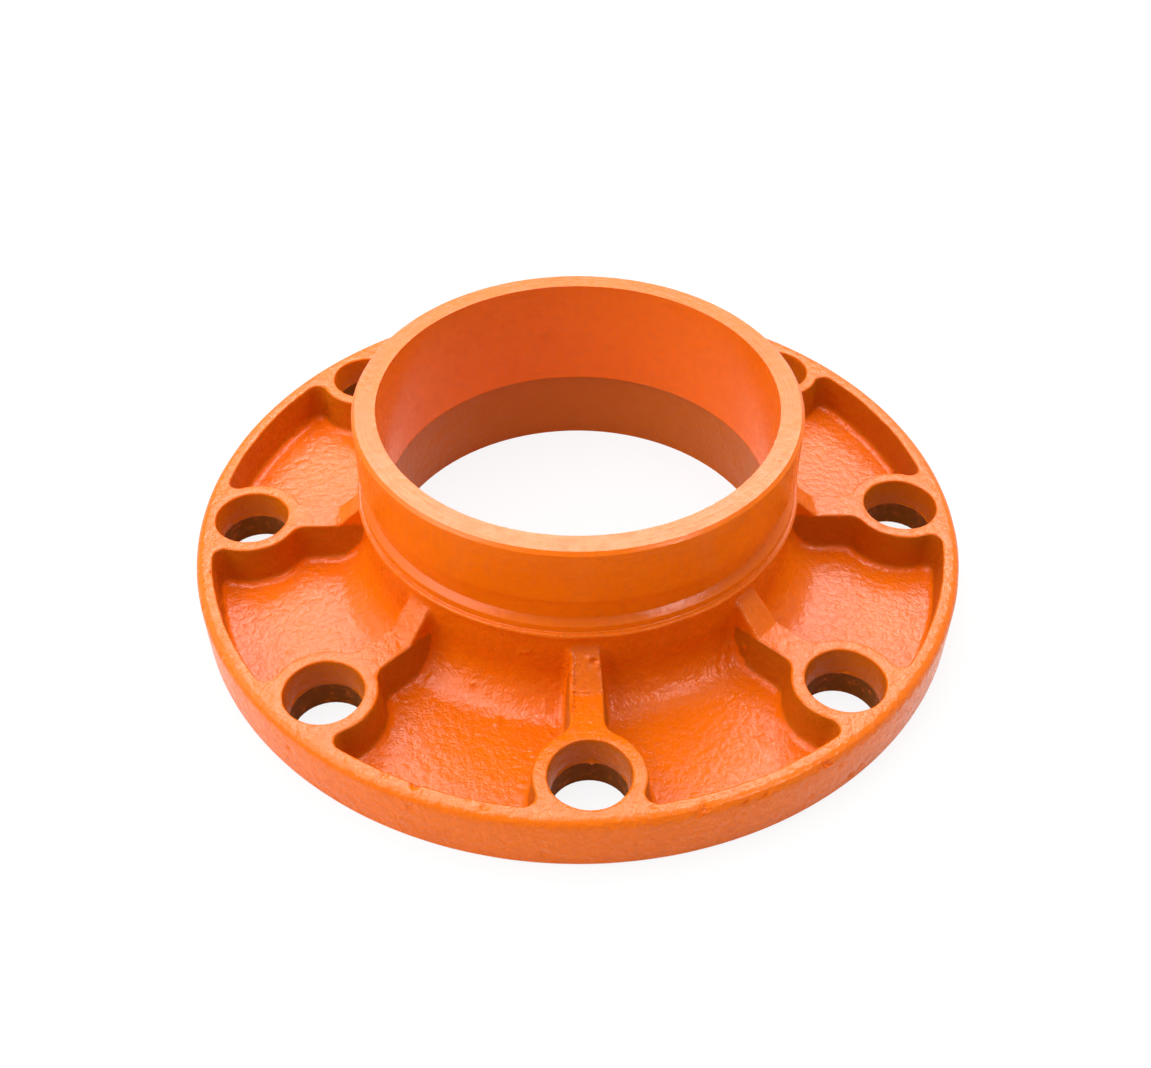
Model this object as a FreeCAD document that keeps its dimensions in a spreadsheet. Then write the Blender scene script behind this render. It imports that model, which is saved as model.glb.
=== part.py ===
import FreeCAD, Part
import math
import os
import Sketcher

# Grooved-end flange adapter: one ductile-iron casting, machined at its grooved end.
# Origin at the centre of the flange face, +Z along the neck, one bolt hole on the +Y axis.

doc = FreeCAD.newDocument("adapter_flange")

# Driving dimensions in millimetres and degrees. Across the piece they are laid out from the
# machined end's surface, and along it from the flange face, so that what stands on a size moves
# with it. Together they make a 250 flange, 66 high, with its bolts on a 216 circle.
SIZES = [
    ("end_diameter", 139.7, "machined pipe-size end, where the coupling's gasket seats"),
    ("end_wall", 7.35, "wall from the machined end's surface to the bore"),
    ("end_bevel", 1.0, "bevel of the end's outer edge"),
    ("seat_length", 18.75, "gasket seat, from the end to the coupling groove"),
    ("groove_width", 8.7, "coupling groove, along the neck"),
    ("groove_depth", 2.15, "coupling groove, below the gasket seat"),
    ("shoulder_height", 1.6, "slanted lower side of the groove, along the neck"),
    ("shoulder_edge_radius", 0.5, "rounding where the shoulder meets the machined land"),
    ("collar_land", 2.4, "machined land between the groove's shoulder and the cast bead"),
    ("bead_height", 2.0, "cast bead under the machined end, along the neck"),
    ("bead_stand", 1.45, "how far the bead stands out past the machined end"),
    ("bead_edge_radius", 0.9, "rounding of the bead's two edges"),
    ("bead_root_radius", 0.4, "hollow where the machined land runs into the bead"),
    ("neck_step", 0.55, "how far the cast neck lies inside the machined end's surface"),
    ("neck_clear", 4.55, "plain neck between the ribs' upper ends and the bead"),
    ("neck_flare_radius", 13.0, "hollow flare from the neck to the pocket floor"),
    ("bore_length", 38.5, "straight bore, from the end of the neck"),
    ("mouth_step", 1.2, "how far the cored mouth starts outside the bore"),
    ("mouth_widening", 3.2, "how far the mouth lies outside the bore at the flange face"),
    ("bolt_reach", 38.15, "machined end's surface to a bolt's axis"),
    ("edge_distance", 17.0, "bolt's axis to the edge of the flange"),
    ("hole_count", 8, "bolt holes, bosses, ribs and pockets"),
    ("hole_diameter", 22.2, "bolt hole at its narrow cast waist"),
    ("hole_widening", 0.7, "how far a bolt hole's wall opens out to either face"),
    ("hole_land", 4.0, "height of the straight waist in a bolt hole"),
    ("hole_edge_radius", 0.8, "rounding of a bolt hole's upper edge"),
    ("boss_wall", 4.4, "metal round a bolt hole's mouth, at the boss's top"),
    ("rib_width", 10.4, "rib between boss and neck, at its top"),
    ("rib_blend_radius", 5.5, "hollow where a boss runs into its rib"),
    ("rib_climb_run", 10.0, "stretch of a rib that climbs to the neck, across the flange"),
    ("rib_climb_height", 9.0, "how far that stretch climbs"),
    ("rib_crease_radius", 1.5, "hollow where the climb starts"),
    ("flange_thickness", 19.0, "flange face to the tops of rim, bosses and ribs"),
    ("web_thickness", 5.0, "flange face to the floor of the pockets"),
    ("rim_width", 5.6, "rim at its top"),
    ("rim_edge_radius", 2.8, "cast rounding of the rim's outer top edge"),
    ("face_edge_radius", 1.0, "rounding of the rim's edge at the flange face"),
    ("rim_draft", 2.0, "draft of the rim's inner wall"),
    ("boss_draft", 5.0, "draft of the bosses and ribs"),
    ("pocket_corner_radius", 3.3, "upright corners where a boss meets the rim"),
    ("pocket_foot_radius", 2.5, "hollow between a pocket's walls and its floor"),
    ("top_edge_radius", 1.0, "cast rounding along the tops of rim, bosses and ribs"),
]
sheet = doc.addObject("Spreadsheet::Sheet", "Sizes")
for row, (alias, number, meaning) in enumerate(SIZES, 1):
    sheet.set(f"A{row}", meaning)
    sheet.set(f"B{row}", str(number))
    sheet.setAlias(f"B{row}", alias)
doc.recompute()

# Radii that follow from them.
end_radius = "(Sizes.end_diameter / 2)"
bore_radius = f"({end_radius} - Sizes.end_wall)"
mouth_start_radius = f"({bore_radius} + Sizes.mouth_step)"
mouth_radius = f"({bore_radius} + Sizes.mouth_widening)"
neck_radius = f"({end_radius} - Sizes.neck_step)"
bead_radius = f"({end_radius} + Sizes.bead_stand)"
groove_radius = f"({end_radius} - Sizes.groove_depth)"
bolt_radius = f"({end_radius} + Sizes.bolt_reach)"
flange_radius = f"({bolt_radius} + Sizes.edge_distance)"
rim_radius = f"({flange_radius} - Sizes.rim_width)"
rim_foot_radius = f"({rim_radius} - (Sizes.flange_thickness - Sizes.web_thickness) * tan(Sizes.rim_draft))"
crease_radius = f"({neck_radius} + Sizes.rib_climb_run)"
waist_radius = "(Sizes.hole_diameter / 2)"
hole_mouth_radius = f"({waist_radius} + Sizes.hole_widening)"
boss_radius = f"({hole_mouth_radius} + Sizes.boss_wall)"

# Heights that follow from them.
rib_end = "(Sizes.flange_thickness + Sizes.rib_climb_height)"
bead_bottom = f"({rib_end} + Sizes.neck_clear)"
bead_top = f"({bead_bottom} + Sizes.bead_height)"
shoulder = f"({bead_top} + Sizes.collar_land)"
groove_bottom = f"({shoulder} + Sizes.shoulder_height)"
groove_top = f"({groove_bottom} + Sizes.groove_width)"
neck_end = f"({groove_top} + Sizes.seat_length)"

body = doc.addObject("PartDesign::Body", "FlangeCasting")
body.Label = "flange_casting"

# Two measures closer than this are the same.
NEAR = 0.01


def measure(formula):
    """The number that a formula over the sheet's names gives."""
    result = sheet.evalExpression(formula)
    return float(getattr(result, "Value", result))


def origin_feature(role):
    return next(item for item in body.Origin.OriginFeatures if item.Role == role)


def new_sketch(name, plane_role, height="0"):
    sketch = body.newObject("Sketcher::SketchObject", name)
    sketch.AttachmentSupport = (origin_feature(plane_role), [""])
    sketch.MapMode = "FlatFace"
    if height != "0":
        sketch.setExpression("AttachmentOffset.Base.z", height)
    return sketch


def bound_constraint(sketch, kind, *where, formula):
    """A dimension whose value is a formula over the sheet."""
    index = sketch.addConstraint(Sketcher.Constraint(kind, *where, measure(formula)))
    sketch.setExpression(f"Constraints[{index}]", formula)


def pin_point(sketch, geometry, point, across, up):
    """Hold a point at two formulas; "0" puts it on the sketch's own axis."""
    for kind, axis, formula in (("DistanceX", -2, across), ("DistanceY", -1, up)):
        if formula == "0":
            sketch.addConstraint(Sketcher.Constraint("PointOnObject", geometry, point, axis))
        else:
            bound_constraint(sketch, kind, -1, 1, geometry, point, formula=formula)


def arc_between(centre, first, last):
    """The anticlockwise arc about a centre, from one point to another."""
    circle = Part.Circle(centre, FreeCAD.Vector(0, 0, 1), centre.distanceToPoint(first))
    start = math.atan2(first.y - centre.y, first.x - centre.x)
    end = math.atan2(last.y - centre.y, last.x - centre.x)
    return Part.ArcOfCircle(circle, start, end)


def rounded_profile(sketch, corners):
    """A closed outline of straight lines. A corner is (across, up) or (across, up, radius)."""
    spots = [FreeCAD.Vector(measure(corner[0]), measure(corner[1]), 0) for corner in corners]
    count = len(corners)
    enters, leaves, arcs = [], [], {}
    for i, corner in enumerate(corners):
        enter = leave = spots[i]
        if len(corner) == 3:
            back = (spots[i - 1] - spots[i]).normalize()
            ahead = (spots[(i + 1) % count] - spots[i]).normalize()
            half = back.getAngle(ahead) / 2
            radius = measure(corner[2])
            enter = spots[i] + back * (radius / math.tan(half))
            leave = spots[i] + ahead * (radius / math.tan(half))
            centre = spots[i] + (back + ahead).normalize() * (radius / math.sin(half))
            left_turn = back.cross(ahead).z < 0
            ends = (enter, leave) if left_turn else (leave, enter)
            arcs[i] = (arc_between(centre, *ends), left_turn)
        enters.append(enter)
        leaves.append(leave)
    for i in range(count):
        sketch.addGeometry(Part.LineSegment(leaves[i], enters[(i + 1) % count]), False)
    for i, corner in enumerate(corners):
        before = (i - 1) % count
        if i not in arcs:
            sketch.addConstraint(Sketcher.Constraint("Coincident", before, 2, i, 1))
            pin_point(sketch, i, 1, corner[0], corner[1])
            continue
        arc, left_turn = arcs[i]
        curve = sketch.addGeometry(arc, False)
        mark = sketch.addGeometry(Part.Point(spots[i]), True)
        pin_point(sketch, mark, 1, corner[0], corner[1])
        sketch.addConstraint(Sketcher.Constraint("PointOnObject", mark, 1, before))
        sketch.addConstraint(Sketcher.Constraint("PointOnObject", mark, 1, i))
        first, last = (1, 2) if left_turn else (2, 1)
        sketch.addConstraint(Sketcher.Constraint("Tangent", before, 2, curve, first))
        sketch.addConstraint(Sketcher.Constraint("Tangent", i, 1, curve, last))
        bound_constraint(sketch, "Radius", curve, formula=corner[2])


def settle(feature, adds):
    """Make a feature the body's newest, and see that it has added metal, or taken metal away."""
    before = 0.0 if body.Shape.isNull() else body.Shape.Volume
    body.Tip = feature
    doc.recompute()
    if feature.Shape.isNull() or (feature.Shape.Volume > before) != adds:
        raise RuntimeError(f"{feature.Name} has not changed the casting as it should")


def turn(kind, name, profile, axis, adds):
    """A profile turned all the way round, as added or removed metal."""
    feature = body.newObject(kind, name)
    feature.Profile = profile
    feature.ReferenceAxis = (profile, [axis])
    feature.Angle = 360
    settle(feature, adds)
    return feature


def repeat_round_the_neck(name, adds, feature=None):
    """Copies of a feature, or of the whole body so far, for all the bolts."""
    pattern = body.newObject("PartDesign::PolarPattern", name)
    if feature:
        pattern.Originals = [feature]
    else:
        pattern.TransformMode = "Whole shape"
    pattern.Axis = (origin_feature("Z_Axis"), [""])
    pattern.Angle = 360
    pattern.setExpression("Occurrences", "Sizes.hole_count")
    settle(pattern, adds)


# One boss and its rib in plan: the boss's two sides, closed by an arc inside the rim, then a
# hollow on each side into the rib, which ends inside the neck's wall.
web_middle = "(Sizes.web_thickness / 2)"
rib_root = f"(({neck_radius} + {bore_radius}) / 2)"
boss_reach = f"min({bolt_radius} + {boss_radius}; {flange_radius} - Sizes.rim_edge_radius)"
boss_close = f"(({rim_radius} + {boss_reach}) / 2)"
plan = new_sketch("BossAndRib", "XY_Plane", web_middle)
half_rib = measure("Sizes.rib_width / 2")
boss = measure(boss_radius)
blend = measure("Sizes.rib_blend_radius")
root = measure(rib_root)
close = measure(boss_close)
pitch = measure(bolt_radius)
blend_y = pitch - math.sqrt((boss + blend) ** 2 - (half_rib + blend) ** 2)
meet_y = (close ** 2 - boss ** 2 + pitch ** 2) / (2 * pitch)
meet_x = math.sqrt(close ** 2 - meet_y ** 2)
boss_middle = FreeCAD.Vector(0, pitch, 0)
for side in (1, -1):
    blend_middle = FreeCAD.Vector(side * (half_rib + blend), blend_y, 0)
    touch = boss_middle + (blend_middle - boss_middle).normalize() * boss
    blend_foot = FreeCAD.Vector(side * half_rib, blend_y, 0)
    rib_foot = FreeCAD.Vector(side * half_rib, root, 0)
    meet = FreeCAD.Vector(side * meet_x, meet_y, 0)
    plan.addGeometry(Part.LineSegment(rib_foot, blend_foot), False)
    plan.addGeometry(arc_between(blend_middle, *(touch, blend_foot)[::side]), False)
    plan.addGeometry(arc_between(boss_middle, *(touch, meet)[::side]), False)
right_rib, right_blend, right_boss, left_rib, left_blend, left_boss = range(6)
root_line = plan.addGeometry(
    Part.LineSegment(FreeCAD.Vector(-half_rib, root, 0), FreeCAD.Vector(half_rib, root, 0)), False)
rim_arc = plan.addGeometry(
    arc_between(FreeCAD.Vector(), FreeCAD.Vector(meet_x, meet_y, 0),
                FreeCAD.Vector(-meet_x, meet_y, 0)), False)
for kind, *where in [
    ("Coincident", root_line, 2, right_rib, 1),
    ("Tangent", right_rib, 2, right_blend, 2),
    ("Tangent", right_blend, 1, right_boss, 1),
    ("Coincident", right_boss, 2, rim_arc, 1),
    ("Coincident", rim_arc, 2, left_boss, 1),
    ("Tangent", left_boss, 2, left_blend, 2),
    ("Tangent", left_blend, 1, left_rib, 2),
    ("Coincident", left_rib, 1, root_line, 1),
    ("Vertical", right_rib),
    ("Vertical", left_rib),
    ("Symmetric", root_line, 1, root_line, 2, -2),
    ("Coincident", rim_arc, 3, -1, 1),
    ("PointOnObject", right_boss, 3, -2),
    ("Coincident", left_boss, 3, right_boss, 3),
    ("Equal", left_boss, right_boss),
    ("Equal", left_blend, right_blend),
]:
    plan.addConstraint(Sketcher.Constraint(kind, *where))
bound_constraint(plan, "DistanceX", root_line, 1, root_line, 2, formula="Sizes.rib_width")
bound_constraint(plan, "DistanceY", -1, 1, root_line, 1, formula=rib_root)
bound_constraint(plan, "DistanceY", -1, 1, right_boss, 3, formula=bolt_radius)
bound_constraint(plan, "Radius", right_boss, formula=boss_radius)
bound_constraint(plan, "Radius", right_blend, formula="Sizes.rib_blend_radius")
bound_constraint(plan, "Radius", rim_arc, formula=boss_close)

# They stand in the web and reach as high as the rib climbs. Their walls lean by the draft, from
# their true size at the level of the rim's top.
rib = body.newObject("PartDesign::Pad", "UprightRib")
rib.Profile = plan
rib.setExpression("Length", f"{rib_end} - {web_middle}")
settle(rib, adds=True)
rim_level = body.newObject("PartDesign::Plane", "RimTopLevel")
rim_level.AttachmentSupport = (origin_feature("XY_Plane"), [""])
rim_level.MapMode = "FlatFace"
rim_level.setExpression("AttachmentOffset.Base.z", "Sizes.flange_thickness")
walls = [f"Face{i}" for i, face in enumerate(rib.Shape.Faces, 1) if abs(face.CenterOfMass.x) > NEAR]
leaning = body.newObject("PartDesign::Draft", "DraftedRib")
leaning.Base = (rib, walls)
leaning.NeutralPlane = (rim_level, [""])
leaning.setExpression("Angle", "Sizes.boss_draft")
settle(leaning, adds=True)
repeat_round_the_neck("RibsAndBosses", adds=True)

# Outside of the casting, turned about the neck's axis: web, rim, flared neck, bead, coupling
# groove and bevelled end. The bead's roundings stay within its height and its stand.
bead_edge = "min(Sizes.bead_edge_radius; 0.48 * Sizes.bead_height; 0.65 * Sizes.bead_stand)"
bead_root = "min(Sizes.bead_root_radius; 0.3 * Sizes.bead_stand)"
section = new_sketch("Section", "XZ_Plane")
rounded_profile(section, [
    ("0", "0"),
    (flange_radius, "0", "Sizes.face_edge_radius"),
    (flange_radius, "Sizes.flange_thickness", "min(Sizes.rim_edge_radius; Sizes.rim_width / 2)"),
    (rim_radius, "Sizes.flange_thickness"),
    (rim_foot_radius, "Sizes.web_thickness"),
    (neck_radius, "Sizes.web_thickness", "Sizes.neck_flare_radius"),
    (neck_radius, bead_bottom),
    (bead_radius, bead_bottom, bead_edge),
    (bead_radius, bead_top, bead_edge),
    (end_radius, bead_top, bead_root),
    (end_radius, shoulder, "Sizes.shoulder_edge_radius"),
    (groove_radius, groove_bottom),
    (groove_radius, groove_top),
    (end_radius, groove_top),
    (end_radius, f"{neck_end} - Sizes.end_bevel"),
    (f"{end_radius} - Sizes.end_bevel", neck_end),
    ("0", neck_end),
])
turn("PartDesign::Revolution", "TurnedSection", section, "V_Axis", adds=True)

# Their tops are level with the rim's, and the ribs' then climb to the neck.
tops = new_sketch("RibTops", "XZ_Plane")
beyond = f"({flange_radius} + Sizes.rim_width)"
above = f"({rib_end} + Sizes.neck_clear / 2)"
rounded_profile(tops, [
    (neck_radius, rib_end),
    (crease_radius, "Sizes.flange_thickness"),
    (beyond, "Sizes.flange_thickness"),
    (beyond, above),
    (neck_radius, above),
])
turn("PartDesign::Groove", "TrimmedTops", tops, "V_Axis", adds=False)

# Bolt hole: cored from both sides, so it widens to both faces from a short straight waist.
hole_section = new_sketch("HoleSection", "YZ_Plane")
hole_mouth = f"({bolt_radius} + {hole_mouth_radius})"
hole_waist = f"({bolt_radius} + {waist_radius})"
rounded_profile(hole_section, [
    (bolt_radius, "0"),
    (hole_mouth, "0"),
    (hole_waist, "(Sizes.flange_thickness - Sizes.hole_land) / 2"),
    (hole_waist, "(Sizes.flange_thickness + Sizes.hole_land) / 2"),
    (hole_mouth, "Sizes.flange_thickness"),
    (bolt_radius, "Sizes.flange_thickness"),
])
hole_axis = hole_section.addGeometry(
    Part.LineSegment(FreeCAD.Vector(pitch, 0, 0),
                     FreeCAD.Vector(pitch, measure("Sizes.flange_thickness"), 0)), True)
hole_section.addConstraint(Sketcher.Constraint("Coincident", hole_axis, 1, 0, 1))
hole_section.addConstraint(Sketcher.Constraint("Coincident", hole_axis, 2, 5, 1))
hole = turn("PartDesign::Groove", "BoltHole", hole_section, "Axis0", adds=False)
repeat_round_the_neck("BoltHoles", adds=False, feature=hole)

# Waterway: bored straight through the machined end. Below a small step its cored mouth opens
# out to the flange face.
bore_foot = f"({neck_end} - Sizes.bore_length)"
waterway = new_sketch("WaterwaySection", "XZ_Plane")
rounded_profile(waterway, [
    ("0", "0"),
    (mouth_radius, "0"),
    (mouth_start_radius, bore_foot),
    (bore_radius, bore_foot),
    (bore_radius, neck_end),
    ("0", neck_end),
])
turn("PartDesign::Groove", "Waterway", waterway, "V_Axis", adds=False)


# The rounded and hollow edges of the casting. An edge is known by where its two ends and its
# middle lie: their heights, and their distances from the neck's axis and the nearest bolt's axis.


def places(edge):
    middle = edge.valueAt((edge.FirstParameter + edge.LastParameter) / 2)
    return [edge.Vertexes[0].Point, middle, edge.Vertexes[-1].Point]


def level(edge, height):
    return all(abs(point.z - height) < NEAR for point in places(edge))


def rises(edge, low, high):
    heights = sorted(point.z for point in places(edge))
    return abs(heights[0] - low) < NEAR and abs(heights[-1] - high) < NEAR


def from_axis(point):
    return math.hypot(point.x, point.y)


def from_bolt(point):
    step = 2 * math.pi / measure("Sizes.hole_count")
    turned = math.remainder(math.atan2(point.x, point.y), step)
    return math.hypot(from_axis(point) * math.cos(turned) - pitch, from_axis(point) * math.sin(turned))


def all_at(distance, edge, radius):
    return all(abs(distance(point) - radius) < NEAR for point in places(edge))


def round_edges(name, wanted, formula, adds):
    base = body.Tip
    edges = [f"Edge{i}" for i, edge in enumerate(base.Shape.Edges, 1) if wanted(edge)]
    fillet = body.newObject("PartDesign::Fillet", name)
    fillet.Base = (base, edges)
    fillet.setExpression("Radius", formula)
    settle(fillet, adds)


top = measure("Sizes.flange_thickness")
floor = measure("Sizes.web_thickness")
crease = measure(crease_radius)
rim = measure(rim_radius)
flare_foot = measure(f"{neck_radius} + Sizes.neck_flare_radius")
mouth = measure(hole_mouth_radius)


def rib_crease(edge):
    return level(edge, top) and all_at(from_axis, edge, crease)


def pocket_corner(edge):
    return rises(edge, floor, top) and from_axis(places(edge)[1]) > pitch


def top_edge(edge):
    """An edge round a pocket at the rim's level; the ones up the ribs' climb follow it smoothly."""
    if not level(edge, top) or all_at(from_bolt, edge, mouth):
        return False
    turned = all_at(from_axis, edge, from_axis(places(edge)[0]))
    return not turned or all_at(from_axis, edge, rim)


def pocket_foot(edge):
    return level(edge, floor) and not all_at(from_axis, edge, flare_foot)


def hole_edge(edge):
    return level(edge, top) and all_at(from_bolt, edge, mouth)


# The creases and the upright corners come first, because the rounded top edges and the hollow
# feet run on through them. A foot stays within the corners' radius.
round_edges("RibCreases", rib_crease, "Sizes.rib_crease_radius", adds=True)
round_edges("PocketCorners", pocket_corner, "Sizes.pocket_corner_radius", adds=True)
round_edges("TopEdges", top_edge, "Sizes.top_edge_radius", adds=False)
round_edges("PocketFeet", pocket_foot,
            "min(Sizes.pocket_foot_radius; 0.77 * Sizes.pocket_corner_radius)", adds=True)
round_edges("HoleEdges", hole_edge, "Sizes.hole_edge_radius", adds=False)

failed = [item.Name for item in doc.Objects if {"Invalid", "Error"} & set(item.State)]
if failed or body.Shape.isNull() or not body.Shape.isValid() or len(body.Shape.Solids) != 1:
    raise RuntimeError(f"the casting is not one sound solid; failed: {failed}")
os.makedirs("parts", exist_ok=True)
body.Shape.exportStep(f"parts/{body.Label}.step")
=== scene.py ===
"""The painted adapter flange as it stands in the photograph, on a plain pale floor."""

import math

import bpy
import numpy as np
from mathutils import Matrix, Vector


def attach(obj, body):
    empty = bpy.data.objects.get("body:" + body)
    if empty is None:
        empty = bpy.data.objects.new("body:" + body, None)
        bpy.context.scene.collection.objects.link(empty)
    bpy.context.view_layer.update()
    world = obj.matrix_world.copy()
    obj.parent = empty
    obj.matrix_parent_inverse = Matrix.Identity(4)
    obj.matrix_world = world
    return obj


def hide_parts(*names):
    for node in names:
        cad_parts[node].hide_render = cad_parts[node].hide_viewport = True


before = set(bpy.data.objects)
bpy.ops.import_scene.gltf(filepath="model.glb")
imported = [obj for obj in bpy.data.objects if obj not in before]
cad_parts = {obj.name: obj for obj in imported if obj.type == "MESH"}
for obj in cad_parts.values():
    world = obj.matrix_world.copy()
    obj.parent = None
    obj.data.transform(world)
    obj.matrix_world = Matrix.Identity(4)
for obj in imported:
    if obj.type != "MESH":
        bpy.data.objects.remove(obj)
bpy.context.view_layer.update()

scene = bpy.context.scene


# The camera looks down at the flange from the front, a little left of the
# front bolt hole, and points just below the flange's middle.
FLANGE_TOP = 0.019
CAMERA_AROUND = math.radians(-91.88)
CAMERA_OUT = 0.3350
CAMERA_UP = 0.3033
CAMERA_LENS = 42.43
CAMERA_NEAR = 0.01
CAMERA_AIM_DOWN = math.radians(1.014)
CAMERA_AIM_SIDE = math.radians(0.089)
CAMERA_ROLL = math.radians(0.122)

camera = bpy.data.objects.new("camera", bpy.data.cameras.new("camera"))
scene.collection.objects.link(camera)
camera.data.lens = CAMERA_LENS
camera.data.clip_start = CAMERA_NEAR
target = Vector((0, 0, FLANGE_TOP))
eye = target + Vector((
    CAMERA_OUT * math.cos(CAMERA_AROUND), CAMERA_OUT * math.sin(CAMERA_AROUND), CAMERA_UP))
look = (target - eye).to_track_quat("-Z", "Y").to_matrix()
aim = look @ Matrix.Rotation(-CAMERA_AIM_DOWN, 3, "X") @ Matrix.Rotation(CAMERA_AIM_SIDE, 3, "Y")
aim = aim @ Matrix.Rotation(CAMERA_ROLL, 3, "Z")
camera.matrix_world = Matrix.Translation(eye) @ aim.to_4x4()
scene.camera = camera
scene.view_settings.view_transform = "Standard"


# The floor is a wide pale sheet of paper. The camera and reflections see it almost
# white, and it still takes the casting's soft shadow.
FLOOR_SIZE = 6.0
FLOOR_COLOUR = (0.90, 0.90, 0.90, 1)
FLOOR_ROUGHNESS = 0.9
FLOOR_GLOW = 0.86
WHITE = (1, 1, 1, 1)


def new_material(name):
    """A node material, its tree and its shader, with nothing linked to the shader yet."""
    material = bpy.data.materials.new(name)
    material.use_nodes = True
    tree = material.node_tree
    return material, tree, tree.nodes["Principled BSDF"]


def add_node(tree, kind, inputs=(), **settings):
    """A node with its settings, and its inputs by name, each a number or another node's socket."""
    node = tree.nodes.new(kind)
    for key, value in settings.items():
        setattr(node, key, value)
    for key, value in dict(inputs).items():
        if isinstance(value, bpy.types.NodeSocket):
            tree.links.new(value, node.inputs[key])
        else:
            node.inputs[key].default_value = value
    return node


def add_sum(tree, operation, *terms):
    """The socket of a math node over numbers and sockets."""
    return add_node(tree, "ShaderNodeMath", enumerate(terms), operation=operation).outputs[0]


mesh = bpy.data.meshes.new("floor")
half = FLOOR_SIZE / 2
corners = [(-half, -half, 0), (half, -half, 0), (half, half, 0), (-half, half, 0)]
mesh.from_pydata(corners, [], [(0, 1, 2, 3)])
floor = bpy.data.objects.new("floor", mesh)
scene.collection.objects.link(floor)
floor_paper, tree, shader = new_material("floor_paper")
shader.inputs["Base Color"].default_value = FLOOR_COLOUR
shader.inputs["Roughness"].default_value = FLOOR_ROUGHNESS
shader.inputs["Specular IOR Level"].default_value = 0.0
path = add_node(tree, "ShaderNodeLightPath")
glow = add_node(tree, "ShaderNodeEmission", {"Color": WHITE})
seen = add_sum(tree, "MAXIMUM", path.outputs["Is Camera Ray"], path.outputs["Is Glossy Ray"])
mix = add_node(tree, "ShaderNodeMixShader", {
    "Fac": add_sum(tree, "MULTIPLY", seen, FLOOR_GLOW),
    1: shader.outputs["BSDF"],
    2: glow.outputs["Emission"]})
tree.links.new(mix.outputs["Shader"], tree.nodes["Material Output"].inputs["Surface"])
mesh.materials.append(floor_paper)


# Studio light: a tent of wide soft boxes at the back, left, right and above, and a
# dim room in front. A box lights the casting, and a gleam is only mirrored in its
# gloss. The camera and reflections see the room as white.
ROOM_FILL = 0.42
LAMP_DISTANCE = 1.2

world = bpy.data.worlds.new("studio")
scene.world = world
world.use_nodes = True
tree = world.node_tree
tree.nodes.clear()
path = add_node(tree, "ShaderNodeLightPath")
seen = add_sum(tree, "MAXIMUM", path.outputs["Is Camera Ray"], path.outputs["Is Glossy Ray"])
seen = add_sum(tree, "MAXIMUM", seen, path.outputs["Is Transmission Ray"])
fill = add_node(tree, "ShaderNodeBackground", {"Color": WHITE, "Strength": ROOM_FILL})
white = add_node(tree, "ShaderNodeBackground", {"Color": WHITE, "Strength": 1.0})
mix = add_node(tree, "ShaderNodeMixShader", {
    "Fac": seen, 1: fill.outputs["Background"], 2: white.outputs["Background"]})
add_node(tree, "ShaderNodeOutputWorld", {"Surface": mix.outputs["Shader"]})


def soft_box(name, azimuth, elevation, width, height, radiance, lights=True, mirrors=True):
    """A rectangular lamp that faces the flange; radiance 1 is the white of the floor. It can be
    flagged off from what it lights, or from what mirrors it."""
    lamp = bpy.data.lights.new(name, "AREA")
    lamp.shape = "RECTANGLE"
    lamp.size = width
    lamp.size_y = height
    lamp.energy = radiance * width * height * math.pi
    spot = bpy.data.objects.new(name, lamp)
    scene.collection.objects.link(spot)
    around = math.radians(azimuth)
    above = math.radians(elevation)
    away = Vector((math.cos(around) * math.cos(above), math.sin(around) * math.cos(above), math.sin(above)))
    turned = away.to_track_quat("Z", "Y").to_matrix().to_4x4()
    spot.matrix_world = Matrix.Translation(away * LAMP_DISTANCE) @ turned
    spot.visible_diffuse = lights
    spot.visible_glossy = mirrors


soft_box("back_box", 86, 42, 1.25, 0.75, 2.0)
soft_box("back_gleam", 88, 53, 1.05, 0.5, 17.0, lights=False)
soft_box("left_box", 186, 42, 1.35, 0.95, 2.8)
soft_box("left_gleam", 200, 42, 0.7, 0.5, 7.0, lights=False)
soft_box("right_box", 28, 45, 0.85, 0.6, 2.2, mirrors=False)
soft_box("right_gleam", -38, 48, 0.35, 0.3, 22.0, lights=False)
soft_box("top_box", 90, 85, 1.0, 0.9, 2.9, mirrors=False)
soft_box("top_gleam", 168, 74, 0.6, 0.6, 15.0, lights=False)


# The casting is ductile iron from a sand mould: web, rim, bosses, ribs and neck in
# one piece, with its grooved end and bore machined. Its form comes from the frame,
# and its skin is cut into facets that are fine enough for the marks of the mould.
MM = 0.001
SHARP = math.radians(33)
LAND_FOOT = 34.6
BORE_FOOT = 27.5
BORE_RADIUS = 62.5
BOLT_CIRCLE = 108.0
BOLT_HOLES = 8
HOLE_WAIST = 11.1
UNDERSIDE = 0.4
ON_WALL = 0.1

# The longest edge of a facet, in millimetres: on the as-cast skin, by marks and seams,
# on the flange face, on machined faces, and where nothing is split.
FINE_FACET = 2.0
FINEST_FACET = 0.7
COARSE_FACET = 4.5
TURNED_FACET = 25.0
WHOLE_FACET = 1000.0

# The most rounds of splitting, over the whole skin and then by the marks, and the
# number of triangles that the finished casting keeps.
SKIN_ROUNDS = 11
MARK_ROUNDS = 5
SEEN_FACES = 192_000

# Points are one where they agree to so many decimals, and corners at one point are
# one where their normals agree to a part in so many. Two normals that differ by more
# than this sine make their edge a crease.
POINT_DECIMALS = 4
NORMAL_STEPS = 500
CREASE = 0.05
SMALLEST = 1e-12


def unit(vectors):
    """The vectors at length 1."""
    return vectors / np.maximum(np.linalg.norm(vectors, axis=-1, keepdims=True), SMALLEST)


def along(first, second):
    """Dot products, as a column."""
    return (first * second).sum(-1, keepdims=True)


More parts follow.
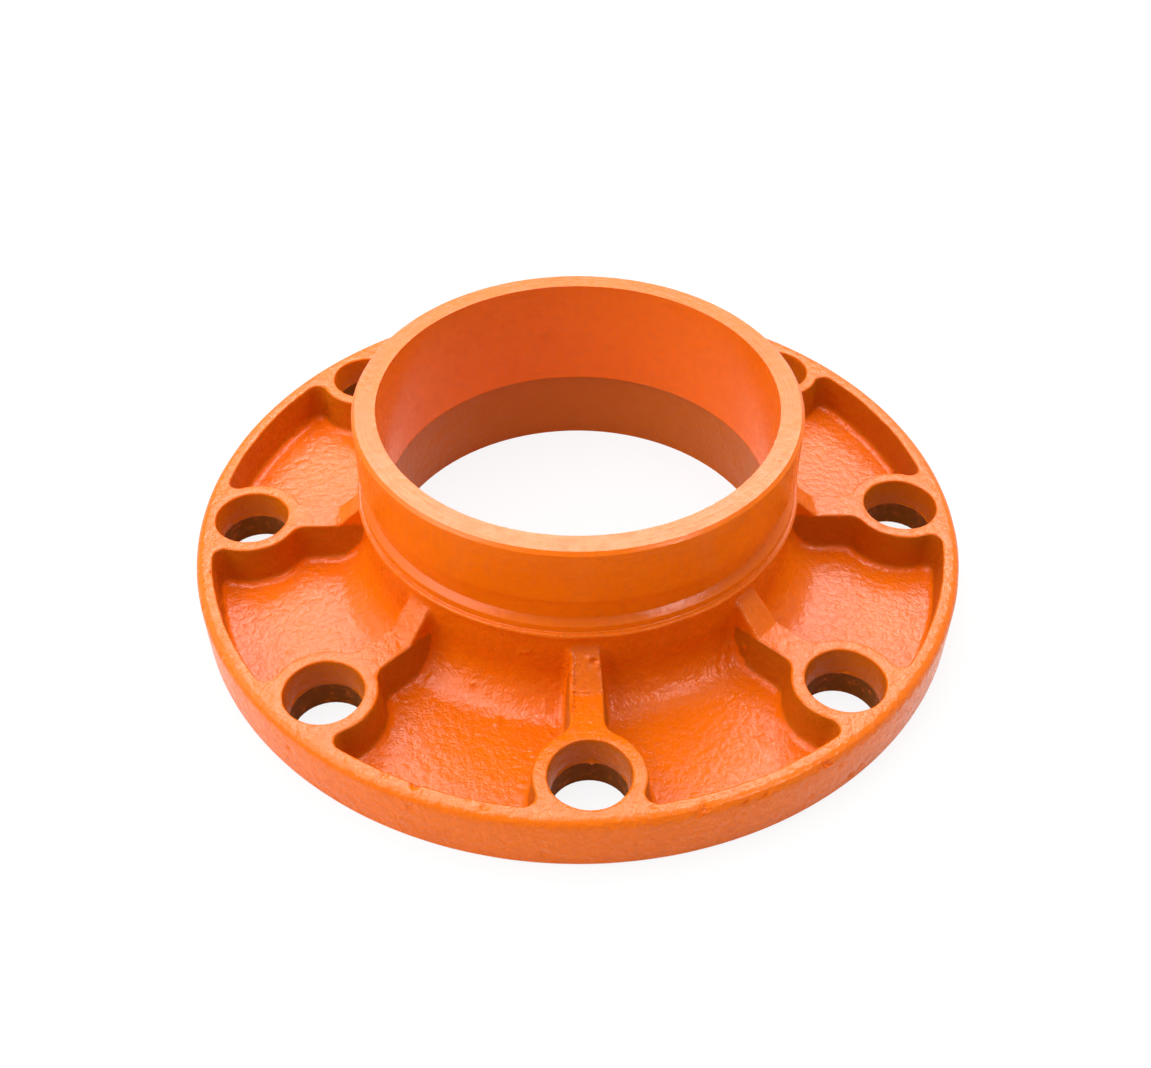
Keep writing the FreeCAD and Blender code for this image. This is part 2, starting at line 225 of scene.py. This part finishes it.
def merged_skin(mesh):
    """Points in millimetres and triangles of a mesh, with points that share a place made one."""
    points = np.empty(len(mesh.vertices) * 3)
    mesh.vertices.foreach_get("co", points)
    points = points.reshape(-1, 3) / MM
    mesh.calc_loop_triangles()
    faces = np.empty(len(mesh.loop_triangles) * 3, np.int64)
    mesh.loop_triangles.foreach_get("vertices", faces)
    rounded = np.round(points, POINT_DECIMALS)
    _, first, place = np.unique(rounded, axis=0, return_index=True, return_inverse=True)
    return points[first], place.reshape(-1)[faces].reshape(-1, 3)


def smooth_corners(points, faces):
    """A normal for each corner, shared by faces that meet smoothly. Returns each corner's point,
    its normal, and the faces as corners."""
    normal = np.cross(points[faces[:, 1]] - points[faces[:, 0]], points[faces[:, 2]] - points[faces[:, 0]])
    weight = np.empty(faces.shape)
    for i in range(3):
        ahead = unit(points[faces[:, (i + 1) % 3]] - points[faces[:, i]])
        back = unit(points[faces[:, (i + 2) % 3]] - points[faces[:, i]])
        weight[:, i] = np.arccos(np.clip((ahead * back).sum(1), -1, 1))
    weight = (weight * np.linalg.norm(normal, axis=1)[:, None]).ravel()
    normal = unit(normal)
    owner = np.repeat(np.arange(len(faces)), 3)
    spot = faces.ravel()
    order = np.argsort(spot, kind="stable")
    counts = np.bincount(spot, minlength=len(points))
    starts = np.cumsum(counts) - counts
    mates = counts[spot]
    mine = np.repeat(np.arange(len(spot)), mates)
    step = np.arange(len(mine)) - np.repeat(np.cumsum(mates) - mates, mates)
    other = order[starts[spot[mine]] + step]
    near = (normal[owner[mine]] * normal[owner[other]]).sum(1) > math.cos(SHARP)
    mine, other = mine[near], other[near]
    total = np.column_stack([
        np.bincount(mine, weight[other] * normal[owner[other], i], len(spot)) for i in range(3)])
    total = unit(total)
    keys = np.column_stack([spot, np.round(total * NORMAL_STEPS)])
    _, first, corner = np.unique(keys, axis=0, return_index=True, return_inverse=True)
    return spot[first], total[first], corner.reshape(-1, 3)


def split_long_edges(points, place, normals, faces, limit):
    """Halve each face's longest edge where it is over the limit, with the new point on the curved
    surface. Returns None once there is nothing left to split."""
    ends = np.concatenate([faces[:, [0, 1]], faces[:, [1, 2]], faces[:, [2, 0]]])
    swap = place[ends[:, 0]] > place[ends[:, 1]]
    ends[swap] = ends[swap][:, ::-1]
    key = place[ends[:, 0]] * len(points) + place[ends[:, 1]]
    _, first, edge = np.unique(key, return_index=True, return_inverse=True)
    edge = edge.reshape(-1)
    last = np.empty(len(first), np.int64)
    last[edge] = np.arange(len(edge))
    low, high = points[place[ends[first, 0]]], points[place[ends[first, 1]]]
    length = np.linalg.norm(high - low, axis=1)
    sides = edge.reshape(3, -1)
    chosen = np.zeros(len(first), bool)
    chosen[sides[np.argmax(length[sides], 0), np.arange(len(faces))]] = True
    chosen &= length > limit((low + high) / 2)
    if not chosen.any():
        return None

    # A new point bulges with the normals of both faces, or on a crease with the edge's
    # own bow, so that round edges stay round. Either is the middle of a cubic curve,
    # which takes an eighth of the slope at each end.
    a, b, length = low[chosen], high[chosen], length[chosen][:, None]
    sides = (first[chosen], last[chosen])
    middle = (a + b) / 2
    for side in sides:
        for corner, run in ((ends[side, 0], b - a), (ends[side, 1], a - b)):
            middle = middle - along(run, normals[corner]) * normals[corner] / 16
    tangents = []
    for end in (0, 1):
        tangent = np.cross(normals[ends[sides[0], end]], normals[ends[sides[1], end]])
        size = np.linalg.norm(tangent, axis=1, keepdims=True)
        ahead = tangent * np.sign(along(tangent, b - a)) / np.maximum(size, SMALLEST)
        tangents.append((size > CREASE, ahead))
    crease = tangents[0][0] & tangents[1][0]
    bow = (a + b) / 2 + (tangents[0][1] - tangents[1][1]) * length / 8
    middle = np.where(crease, bow, middle)
    number = np.full(len(first), -1)
    number[chosen] = len(points) + np.arange(len(a))
    points = np.concatenate([points, middle])

    # Each new corner gets the normal that the curved surface has there.
    cut = number[edge] >= 0
    pairs = ends[cut][:, 0] * len(place) + ends[cut][:, 1]
    _, lead, pair = np.unique(pairs, return_index=True, return_inverse=True)
    start, stop = ends[cut][lead, 0], ends[cut][lead, 1]
    run = points[place[stop]] - points[place[start]]
    both = normals[start] + normals[stop]
    lean = 2 * along(run, both) / along(run, run)
    halves = np.full(len(ends), -1)
    halves[cut] = len(place) + pair.reshape(-1)
    place = np.concatenate([place, number[edge[cut][lead]]])
    normals = np.concatenate([normals, unit(both - lean * run)])

    # Faces with one, two or three halved edges become two, three or four faces.
    halves = halves.reshape(3, -1).T
    marks = (halves >= 0).sum(1)
    made = [faces[marks == 0]]
    for i in range(3):
        j, k = (i + 1) % 3, (i + 2) % 3
        one = (marks == 1) & (halves[:, i] >= 0)
        f, c = faces[one], halves[one, i]
        made += [np.column_stack([f[:, i], c, f[:, k]]), np.column_stack([c, f[:, j], f[:, k]])]
        two = (marks == 2) & (halves[:, k] < 0)
        f, c, d = faces[two], halves[two, i], halves[two, j]
        made += [np.column_stack([c, f[:, j], d]), np.column_stack([f[:, i], c, d]),
                 np.column_stack([f[:, i], d, f[:, k]])]
    f, c = faces[marks == 3], halves[marks == 3]
    made += [np.column_stack([f[:, i], c[:, i], c[:, i - 1]]) for i in range(3)]
    made.append(c)
    return points, place, normals, np.concatenate(made)


def from_hole(spots):
    """Each spot's distance from the axis of its nearest bolt hole, its turn round that axis, and
    the hole's number."""
    step = math.tau / BOLT_HOLES
    around = np.arctan2(spots[:, 1], spots[:, 0])
    hole = np.round(around / step)
    x = spots[:, 0] - BOLT_CIRCLE * np.cos(hole * step)
    y = spots[:, 1] - BOLT_CIRCLE * np.sin(hole * step)
    return np.hypot(x, y), np.arctan2(y, x), hole


def place_of(azimuth, radius, height):
    """The point at that direction in degrees, distance from the axis and height."""
    turn = np.radians(azimuth)
    return np.stack(np.broadcast_arrays(radius * np.cos(turn), radius * np.sin(turn), height), -1)


# Single marks: direction from +X in degrees, distance from the axis, height, breadth
# and rise. Pits have a negative rise.
MARKS = [
    (-88.0, 72.6, 25.0, 0.9, -0.9), (-89.0, 71.8, 25.9, 1.0, 0.6), (-87.4, 73.6, 24.2, 0.8, 0.4),
    (-104.7, 69.3, 23.7, 0.8, 0.6), (-106.0, 69.3, 23.2, 0.7, 0.5), (-103.6, 69.3, 24.1, 0.6, 0.4),
    (-108.6, 81.6, 5.1, 1.0, 0.4), (-108.8, 83.0, 5.0, 0.8, 0.35), (-97.4, 83.5, 5.0, 0.7, 0.45),
    (-100.7, 102.4, 5.0, 0.7, 0.3), (-98.6, 104.6, 5.0, 0.7, 0.3),
    (-113.5, 120.0, 19.0, 1.3, -0.8), (-112.6, 121.6, 19.0, 1.1, 0.3), (-103.7, 121.7, 19.0, 1.0, -0.6),
    (-75.7, 123.8, 18.4, 1.3, -0.8), (-117.8, 121.0, 19.0, 1.0, -0.4), (-82.0, 120.4, 19.0, 0.9, -0.4),
    (-113.2, 125.0, 14.8, 1.2, -0.5), (-58.1, 124.6, 17.4, 1.3, -0.5), (-55.4, 125.0, 13.2, 1.4, -0.4),
    (-52.6, 125.0, 3.2, 1.5, -0.6), (-50.8, 125.0, 4.4, 1.1, -0.4), (-60.0, 125.0, 6.5, 1.1, -0.3),
    (-160.8, 124.4, 18.2, 1.2, -0.4), (-151.0, 124.6, 17.6, 1.0, -0.4), (-168.0, 119.8, 18.8, 1.0, -0.4),
    (-89.4, 97.0, 9.3, 0.8, 0.9), (-131.6, 99.3, 9.2, 0.9, 0.5), (-171.0, 98.6, 9.4, 0.8, 0.5),
    (-133.4, 125.0, 11.4, 1.0, -0.4), (-96.0, 125.0, 5.2, 1.2, -0.3), (-12.0, 124.9, 9.6, 1.2, -0.4),
    (38.0, 124.9, 6.0, 1.3, -0.5), (101.0, 125.0, 12.0, 1.2, -0.4), (152.0, 125.0, 7.0, 1.4, -0.5),
]
# Patches where sand broke away and the iron filled it: direction, distance and height,
# each from and to, then how many bumps, how broad and how high.
PATCHES = (
    (-129.0, -117.0, 71.0, 76.0, 6.5, 12.0, 34, 1.0, 0.45),
    (-57.0, -49.0, 71.0, 76.0, 6.5, 14.0, 30, 1.0, 0.5),
    (-52.5, -48.5, 74.0, 86.0, 5.5, 9.0, 26, 0.8, 0.45),
    (-103.0, -94.0, 72.0, 82.0, 5.2, 9.0, 18, 0.9, 0.3),
    (-86.0, -82.0, 72.0, 86.0, 5.2, 10.0, 20, 0.8, 0.35),
    (-131.0, -127.0, 76.0, 92.0, 5.0, 7.0, 16, 0.9, 0.35),
    (-124.0, -106.0, 100.0, 115.0, 5.0, 5.2, 40, 1.2, 0.16),
    (-168.0, -150.0, 92.0, 112.0, 5.0, 5.2, 30, 1.3, 0.14),
    (-76.0, -54.0, 100.0, 115.0, 5.0, 5.2, 30, 1.3, 0.14),
)
# Lines of flash along edges: through these spots, then breadth and rise.
FLASH_LINES = (
    (((-92.9, 70.8, 26.6), (-92.8, 79.0, 19.3), (-92.7, 86.5, 19.0)), 0.45, 0.35),
    (((-92.6, 79.0, 19.3), (-87.3, 79.2, 19.2)), 0.5, 0.25),
    (((-134.0, 79.0, 19.3), (-136.0, 79.0, 19.2)), 0.6, 0.35),
    (((-137.8, 71.5, 26.2), (-137.8, 79.0, 19.4)), 0.45, 0.3),
    (((-179.8, 79.0, 19.3), (-176.5, 79.0, 19.2)), 0.6, 0.4),
)
# How much the bumps of a patch and of a line of flash differ, as shares of their size.
PATCH_BREADTHS = (0.6, 1.3)
PATCH_RISES = (-0.5, 1.0)
FLASH_RISES = (0.2, 1.0)
MOST_RISE = 1.0
RANDOM_SEED = 7

chance = np.random.default_rng(RANDOM_SEED)
for az0, az1, r0, r1, z0, z1, count, breadth, rise in PATCHES:
    for _ in range(count):
        MARKS.append((chance.uniform(az0, az1), chance.uniform(r0, r1), chance.uniform(z0, z1),
                      breadth * chance.uniform(*PATCH_BREADTHS), rise * chance.uniform(*PATCH_RISES)))
for spots, breadth, rise in FLASH_LINES:
    for first, last in zip(spots, spots[1:]):
        count = int(np.linalg.norm(place_of(*last) - place_of(*first)) / breadth) + 2
        for share in np.linspace(0, 1, count):
            azimuth, radius, height = (p + (q - p) * share for p, q in zip(first, last))
            MARKS.append((azimuth, radius, height, breadth, rise * chance.uniform(*FLASH_RISES)))
MARKS = np.array(MARKS)
MARK_SPOTS = place_of(MARKS[:, 0], MARKS[:, 1], MARKS[:, 2])

# Cubes of a millimetre round the casting, and whether each holds or touches a mark.
CUBES_CORNER = np.array([-127.0, -127.0, -2.0])
CUBES_COUNT = (254, 254, 70)
MARK_REACH = 1.3
MARK_MARGIN = 0.6

marked_cubes = np.zeros(CUBES_COUNT, bool)
for spot, breadth in zip(MARK_SPOTS, MARKS[:, 3]):
    reach = MARK_REACH * breadth + MARK_MARGIN
    low, high = ((spot + side * reach - CUBES_CORNER).astype(int) for side in (-1, 1))
    marked_cubes[low[0]:high[0] + 1, low[1]:high[1] + 1, low[2]:high[2] + 1] = True

# The ragged seam in each bolt hole, where the two halves of its core met: its height,
# its breadth, its rise, and the waves in that rise, each with its size, how many go
# round the hole, and how far it turns from hole to hole.
SEAM_HEIGHT = 9.5
SEAM_BREADTH = 0.4
SEAM_ZONE = 1.2
SEAM_RISE = 0.22
SEAM_WAVES = ((0.13, 3, 2.1), (0.10, 7, 1.0), (0.07, 16, 0.0))


def near_marks(spots):
    """Whether each spot lies by a mark."""
    return marked_cubes[tuple((spots - CUBES_CORNER).astype(int).T)]


def facet_limit(spots):
    """The longest edge that a spot's skin may have: machined and hidden faces stay coarse."""
    across = np.hypot(spots[:, 0], spots[:, 1])
    height = spots[:, 2]
    bore = (across < BORE_RADIUS + ON_WALL) & (height > BORE_FOOT)
    limit = np.where((height > LAND_FOOT) | bore, TURNED_FACET, FINE_FACET)
    reach, _, _ = from_hole(spots)
    limit[(reach < HOLE_WAIST + 2 * ON_WALL) & (np.abs(height - SEAM_HEIGHT) < SEAM_ZONE)] = FINEST_FACET
    return np.where(height < UNDERSIDE, COARSE_FACET, limit)


def mark_limit(spots):
    """The same near the marks, where facets are finest, with nothing split elsewhere."""
    return np.where(near_marks(spots), FINEST_FACET, WHOLE_FACET)


points, faces = merged_skin(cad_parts["flange_casting"].data)
place, normals, faces = smooth_corners(points, faces)
for limit, rounds in ((facet_limit, SKIN_ROUNDS), (mark_limit, MARK_ROUNDS)):
    for _ in range(rounds):
        skin = split_long_edges(points, place, normals, faces, limit)
        if skin:
            points, place, normals, faces = skin
faces = place[faces]

# The marks rise from the skin or press it in, and the seam in each bolt hole rises.
outward = np.cross(points[faces[:, 1]] - points[faces[:, 0]], points[faces[:, 2]] - points[faces[:, 0]])
outward = unit(np.stack([
    sum(np.bincount(faces[:, i], outward[:, j], len(points)) for i in range(3)) for j in range(3)], -1))
near = near_marks(points)
marked = points[near]
rises = np.zeros(len(marked))
for spot, (_, _, _, breadth, rise) in zip(MARK_SPOTS, MARKS):
    rises += rise * np.exp(-((marked - spot) ** 2).sum(1) / breadth ** 2)
lift = np.zeros(len(points))
lift[near] = np.clip(rises, -MOST_RISE, MOST_RISE) * (marked[:, 2] > UNDERSIDE)
reach, turn, hole = from_hole(points)
seam = (reach < HOLE_WAIST + ON_WALL) * np.exp(-((points[:, 2] - SEAM_HEIGHT) / SEAM_BREADTH) ** 2)
ragged = SEAM_RISE
for size, waves, shift in SEAM_WAVES:
    ragged = ragged + size * np.sin(waves * turn + shift * hole)
lift += seam * np.maximum(ragged, 0.0)
points = points + outward * lift[:, None]

mesh = bpy.data.meshes.new("casting_skin")
mesh.from_pydata(points * MM, [], faces)
mesh.shade_smooth()
skin = bpy.data.objects.new("casting_skin", mesh)
scene.collection.objects.link(skin)


# Enamel over the iron: one glossy orange coat. It follows the grain of the sand and
# the fine lines of the turned end. Shade is painted into its colour, and it is duller,
# in the bolt holes, darkest in their lower halves, in the cored mouth below the bore
# and on the steep walls of the pockets and groove.
ENAMEL = (0.82, 0.149, 0.001, 1)
ENAMEL_DEEP = (0.75, 0.128, 0.001, 1)
# Painted shade: a darker tone for the bolt holes, the mouth below the bore and steep walls.
ENAMEL_SHADE = (0.48, 0.112, 0.001, 1)
# Painted shadow: the darkest tone, for the lower halves of the bolt holes.
ENAMEL_HOLE_SHADOW = (0.22, 0.060, 0.001, 1)
ENAMEL_GLOSS = 0.14
SHADE_IN_HOLES = 0.7

# Edges of the painted shade and of the turned faces, in metres from the neck's or a hole's
# axis, or above the flange face. One side ends at the first figure and the other is whole at the second.
HOLE_SIDE = (0.0120, 0.0123)
HOLE_TOP = (0.0178, 0.0186)
HOLE_SHADOW_TOP = (0.0086, 0.0096)
MOUTH_SIDE = (0.0662, 0.0668)
MOUTH_TOP = (0.0272, 0.0277)
TURNED_END_FOOT = (0.0345, 0.0348)
TURNED_BORE_SIDE = (0.0626, 0.0629)
TURNED_BORE_FOOT = (0.0275, 0.0278)

# Clouds and mottle in the coat: the size of a spot in metres, where in the noise the
# deeper tone starts and is whole, and its share there.
CLOUD_SIZE = 0.016
CLOUD_BAND = (0.45, 0.75)
CLOUD_SHARE = 0.5
MOTTLE_SIZE = 0.0026
MOTTLE_BAND = (0.50, 0.72)
MOTTLE_SHARE = 0.7
HOLE_SHADOW_BAND = (0.25, 0.45)

# Roughness from the mottle's lows to its highs, and what the painted-shade places add: the holes, the mouth
# and steep walls, and most the lower halves of the holes.
ROUGH_BAND = (0.3, 0.7)
ROUGHNESS = (0.17, 0.34)
SHADE_ROUGHER = 0.12
HOLE_SHADOW_ROUGHER = 0.5

# Relief in millimetres: of the mottle, of the grains of sand, and of the tool's lines
# on turned faces, where little of the first two is left.
MOTTLE_RELIEF = 0.45
SAND_SIZE = 0.0009
SAND_RELIEF = 0.15
LINE_SIZE = 0.0007
LINE_TURN = 0.004
LINE_RELIEF = 0.07
TURNED_AWAY = 0.7

enamel, tree, shader = new_material("orange_enamel")
shader.inputs["Specular IOR Level"].default_value = ENAMEL_GLOSS
where = add_node(tree, "ShaderNodeTexCoord").outputs["Object"]
split = add_node(tree, "ShaderNodeSeparateXYZ", {0: where})
east, north, height = split.outputs["X"], split.outputs["Y"], split.outputs["Z"]


def ramp(tree, value, low, high):
    """The socket of a ramp: 0 at and below low, 1 at and above high, and straight between."""
    limits = {"Value": value, "From Min": low, "From Max": high}
    return add_node(tree, "ShaderNodeMapRange", limits).outputs[0]


def below(value, low, high):
    """1 at and below low, 0 at and above high."""
    return ramp(tree, value, high, low)


def blend(share, first, second):
    """The first colour, with that share of the second."""
    return add_node(tree, "ShaderNodeMix", {0: share, 6: first, 7: second}, data_type="RGBA").outputs[2]


def grain(size, detail, coordinates=where):
    """Noise with spots of about that size in metres."""
    return add_node(tree, "ShaderNodeTexNoise", {
        "Vector": coordinates, "Scale": 1 / size, "Detail": detail}).outputs["Fac"]


def length_of(first, second):
    """The length of a vector from its two parts."""
    squares = add_sum(tree, "MULTIPLY_ADD", first, first, add_sum(tree, "MULTIPLY", second, second))
    return add_sum(tree, "SQRT", squares)


radius = length_of(east, north)
around = add_sum(tree, "ARCTAN2", north, east)
half_step = math.pi / BOLT_HOLES
turn = add_sum(tree, "WRAP", around, half_step, -half_step)
aside = add_sum(tree, "MULTIPLY", radius, add_sum(tree, "SINE", turn))
ahead = add_sum(tree, "MULTIPLY_ADD", radius, add_sum(tree, "COSINE", turn), -BOLT_CIRCLE * MM)
reach = length_of(aside, ahead)

# Painted shade: masks of the bolt holes and the mouth below the bore, where the tone goes darker and
# duller.
hole = below(reach, *HOLE_SIDE)
mouth_shade = add_sum(tree, "MULTIPLY", below(radius, *MOUTH_SIDE), below(height, *MOUTH_TOP))
painted_shade = add_sum(tree, "MULTIPLY", add_sum(tree, "MULTIPLY", hole, SHADE_IN_HOLES), below(height, *HOLE_TOP))
painted_shade = add_sum(tree, "MAXIMUM", painted_shade, mouth_shade)
# Painted shade on the steep walls of the pockets and groove, from the mesh's attribute.
wall_shade = add_node(tree, "ShaderNodeAttribute", attribute_name="wall_shade").outputs["Fac"]
painted_shade = add_sum(tree, "MAXIMUM", painted_shade, wall_shade)
# Painted shadow in the lower halves of the bolt holes, broken up by the mottle.
hole_shadow = add_sum(tree, "MULTIPLY", hole, below(height, *HOLE_SHADOW_TOP))
bore = add_sum(tree, "MULTIPLY", below(radius, *TURNED_BORE_SIDE), ramp(tree, height, *TURNED_BORE_FOOT))
turned = add_sum(tree, "MAXIMUM", ramp(tree, height, *TURNED_END_FOOT), bore)

cloud = grain(CLOUD_SIZE, 1.0)
mottle = grain(MOTTLE_SIZE, 3.0)
tone = blend(add_sum(tree, "MULTIPLY", ramp(tree, cloud, *CLOUD_BAND), CLOUD_SHARE), ENAMEL, ENAMEL_DEEP)
tone = blend(add_sum(tree, "MULTIPLY", ramp(tree, mottle, *MOTTLE_BAND), MOTTLE_SHARE), tone, ENAMEL_DEEP)
tone = blend(painted_shade, tone, ENAMEL_SHADE)
tone = blend(add_sum(tree, "MULTIPLY", hole_shadow, ramp(tree, mottle, *HOLE_SHADOW_BAND)), tone, ENAMEL_HOLE_SHADOW)
tree.links.new(tone, shader.inputs["Base Color"])
rough = add_node(tree, "ShaderNodeMapRange", {
    "Value": mottle, "From Min": ROUGH_BAND[0], "From Max": ROUGH_BAND[1],
    "To Min": ROUGHNESS[0], "To Max": ROUGHNESS[1]}).outputs[0]
rough = add_sum(tree, "MULTIPLY_ADD", painted_shade, SHADE_ROUGHER, rough)
rough = add_sum(tree, "MULTIPLY_ADD", hole_shadow, HOLE_SHADOW_ROUGHER, rough)
tree.links.new(rough, shader.inputs["Roughness"])

spun = add_node(tree, "ShaderNodeCombineXYZ", {
    "X": radius, "Y": height, "Z": add_sum(tree, "MULTIPLY", around, LINE_TURN)})
cast = add_sum(tree, "MULTIPLY_ADD", turned, -TURNED_AWAY, 1.0)
sand = add_sum(tree, "MULTIPLY", grain(SAND_SIZE, 1.0), SAND_RELIEF)
relief = add_sum(tree, "MULTIPLY", add_sum(tree, "MULTIPLY_ADD", mottle, MOTTLE_RELIEF, sand), cast)
lines = add_sum(tree, "MULTIPLY", grain(LINE_SIZE, 0.0, spun.outputs[0]), turned)
relief = add_sum(tree, "MULTIPLY_ADD", lines, LINE_RELIEF, relief)
bump = add_node(tree, "ShaderNodeBump", {"Height": relief, "Strength": 1.0, "Distance": MM})
tree.links.new(bump.outputs["Normal"], shader.inputs["Normal"])


# The mould's marks: Geometry Nodes press the skin in by up to a few tenths of a
# millimetre, in long swells and short ripples, and let the walls wander a little.
# Machined faces and the flange face stay true.
CAST_SIZES = {
    "Swell Depth": 0.00025,
    "Swell Size": 0.022,
    "Ripple Depth": 0.00010,
    "Ripple Size": 0.0055,
    "Wander": 0.00035,
    "Wander Size": 0.012,
    "Land Foot": LAND_FOOT * MM,
    "Bore Foot": BORE_FOOT * MM,
    "Bore Radius": BORE_RADIUS * MM,
    "Face Height": 0.0010,
    "Rim Radius": 0.1215,
    "Seed": 4.0,
}
# How far from a true face the skin takes to be fully cast, in metres: below the land,
# outside the bore, below its foot, and inside the rim.
LAND_FADE = (0.0, 0.0015)
BORE_FADE = (0.0004, 0.0012)
FOOT_FADE = (0.0, 0.001)
RIM_FADE = (0.0, 0.002)


def named_input(group, name, kind):
    """A new input of the group, and its identifier."""
    socket = group.interface.new_socket(name, in_out="INPUT", socket_type=kind)
    return socket, socket.identifier


cast_skin = bpy.data.node_groups.new("as_cast_skin", "GeometryNodeTree")
cast_skin.interface.new_socket("Geometry", in_out="INPUT", socket_type="NodeSocketGeometry")
cast_skin.interface.new_socket("Geometry", in_out="OUTPUT", socket_type="NodeSocketGeometry")
cast_inputs = {}
for name, value in CAST_SIZES.items():
    socket, cast_inputs[name] = named_input(cast_skin, name, "NodeSocketFloat")
    socket.default_value = value
_, cast_inputs["Finish"] = named_input(cast_skin, "Finish", "NodeSocketMaterial")
start = add_node(cast_skin, "NodeGroupInput").outputs
position = add_node(cast_skin, "GeometryNodeInputPosition").outputs[0]
facing = add_node(cast_skin, "GeometryNodeInputNormal").outputs[0]
split = add_node(cast_skin, "ShaderNodeSeparateXYZ", {0: position}).outputs
flat = add_node(cast_skin, "ShaderNodeCombineXYZ", {"X": split["X"], "Y": split["Y"]}).outputs[0]
radius = add_node(cast_skin, "ShaderNodeVectorMath", {0: flat}, operation="LENGTH").outputs["Value"]
height = split["Z"]


def cast_sum(operation, *terms):
    """The socket of a math node in the skin's tree."""
    return add_sum(cast_skin, operation, *terms)


def cast_vector(operation, inputs):
    """The socket of a vector math node in the skin's tree."""
    return add_node(cast_skin, "ShaderNodeVectorMath", inputs, operation=operation).outputs[0]


def field(size, dimension="Fac"):
    """Noise over the casting with features of that size."""
    return add_node(cast_skin, "ShaderNodeTexNoise", {
        "Vector": position, "W": start["Seed"], "Scale": cast_sum("DIVIDE", 1.0, size), "Detail": 1.0},
        noise_dimensions="4D").outputs[dimension]


below_land = cast_sum("SUBTRACT", start["Land Foot"], height)
below_bore = cast_sum("SUBTRACT", start["Bore Foot"], height)
outside_bore = cast_sum("SUBTRACT", radius, start["Bore Radius"])
inside_rim = cast_sum("SUBTRACT", start["Rim Radius"], radius)
off_bore = cast_sum(
    "MAXIMUM", ramp(cast_skin, outside_bore, *BORE_FADE), ramp(cast_skin, below_bore, *FOOT_FADE))
cast = cast_sum("MULTIPLY", ramp(cast_skin, below_land, *LAND_FADE), off_bore)
cast = cast_sum("MULTIPLY", cast, ramp(cast_skin, height, 0.0, start["Face Height"]))
depth = cast_sum("MULTIPLY", field(start["Swell Size"]), start["Swell Depth"])
depth = cast_sum("MULTIPLY_ADD", field(start["Ripple Size"]), start["Ripple Depth"], depth)
depth = cast_sum("MULTIPLY", depth, cast)
press = cast_vector("SCALE", {0: facing, "Scale": cast_sum("MULTIPLY", depth, -1.0)})

# Walls wander to both sides, and only level. Noise runs from 0 to 1, so a half comes
# off it and the rest is doubled.
free = cast_sum("MULTIPLY", cast, ramp(cast_skin, inside_rim, *RIM_FADE))
wander = cast_sum("MULTIPLY", cast_sum("MULTIPLY", free, start["Wander"]), 2.0)
drift = cast_vector("SUBTRACT", {0: field(start["Wander Size"], "Color"), 1: (0.5, 0.5, 0.5)})
drift = cast_vector("MULTIPLY", {0: drift, 1: (1, 1, 0)})
drift = cast_vector("SCALE", {0: drift, "Scale": wander})
offset = cast_vector("ADD", {0: press, 1: drift})
moved = add_node(cast_skin, "GeometryNodeSetPosition", {"Geometry": start["Geometry"], "Offset": offset})
real = add_node(cast_skin, "GeometryNodeRealizeInstances", {"Geometry": moved.outputs[0]})
painted = add_node(cast_skin, "GeometryNodeSetMaterial", {
    "Geometry": real.outputs[0], "Material": start["Finish"]})
add_node(cast_skin, "NodeGroupOutput", {"Geometry": painted.outputs[0]})

modifier = skin.modifiers.new("as_cast_skin", "NODES")
modifier.node_group = cast_skin
for name, value in CAST_SIZES.items():
    modifier[cast_inputs[name]] = value
modifier[cast_inputs["Finish"]] = enamel
thinned = skin.modifiers.new("thinned", "DECIMATE")
thinned.ratio = min(1.0, SEEN_FACES / len(faces))

bpy.context.view_layer.update()
shape = bpy.data.meshes.new_from_object(skin.evaluated_get(bpy.context.evaluated_depsgraph_get()))
bpy.data.objects.remove(skin)
shape.name = "painted_flange"
shape.shade_smooth()
shape.set_sharp_from_angle(angle=SHARP)


# Painted shade on steep walls: in the pockets, round the bosses and in the groove, these
# walls take a darker, duller tone. The flared neck takes none.
STEEPEST = 0.4
LEVEL = 0.8
FLARE_RADIUS = 84.0
FLARE_FACES_OUT = 0.25
POCKET_TOP = 18.6
POCKET_INSIDE = 71.0
POCKET_OUTSIDE = 121.0
BOSS_BORE = 12.6
GROOVE_MIDDLE = 42.9
GROOVE_HALF = 4.3
GROOVE_INSIDE = 66.0
GROOVE_OUTSIDE = 69.0
SHADE_IN_POCKETS = 0.95
SHADE_IN_GROOVE = 0.9


def read_vectors(vertices, name):
    """One vector of each vertex, as rows."""
    values = np.empty(len(vertices) * 3)
    vertices.foreach_get(name, values)
    return values.reshape(-1, 3)


spots = read_vectors(shape.vertices, "co") / MM
facing = read_vectors(shape.vertices, "normal")
across = np.hypot(spots[:, 0], spots[:, 1])
reach, _, _ = from_hole(spots)
steep = np.clip((LEVEL - np.abs(facing[:, 2])) / (LEVEL - STEEPEST), 0, 1)
faces_out = (facing[:, :2] * spots[:, :2]).sum(1) / across
flare = (across < FLARE_RADIUS) & (faces_out > FLARE_FACES_OUT)
pocket = (across > POCKET_INSIDE) & (across < POCKET_OUTSIDE)
pocket &= (spots[:, 2] < POCKET_TOP) & (reach > BOSS_BORE) & ~flare
groove = (across > GROOVE_INSIDE) & (across < GROOVE_OUTSIDE)
groove &= np.abs(spots[:, 2] - GROOVE_MIDDLE) < GROOVE_HALF
wall_shade = steep * np.where(pocket, SHADE_IN_POCKETS, np.where(groove, SHADE_IN_GROOVE, 0.0))
shape.attributes.new("wall_shade", "FLOAT", "POINT").data.foreach_set("value", wall_shade)

painted_flange = bpy.data.objects.new("painted_flange", shape)
scene.collection.objects.link(painted_flange)
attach(painted_flange, "root")
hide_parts("flange_casting")
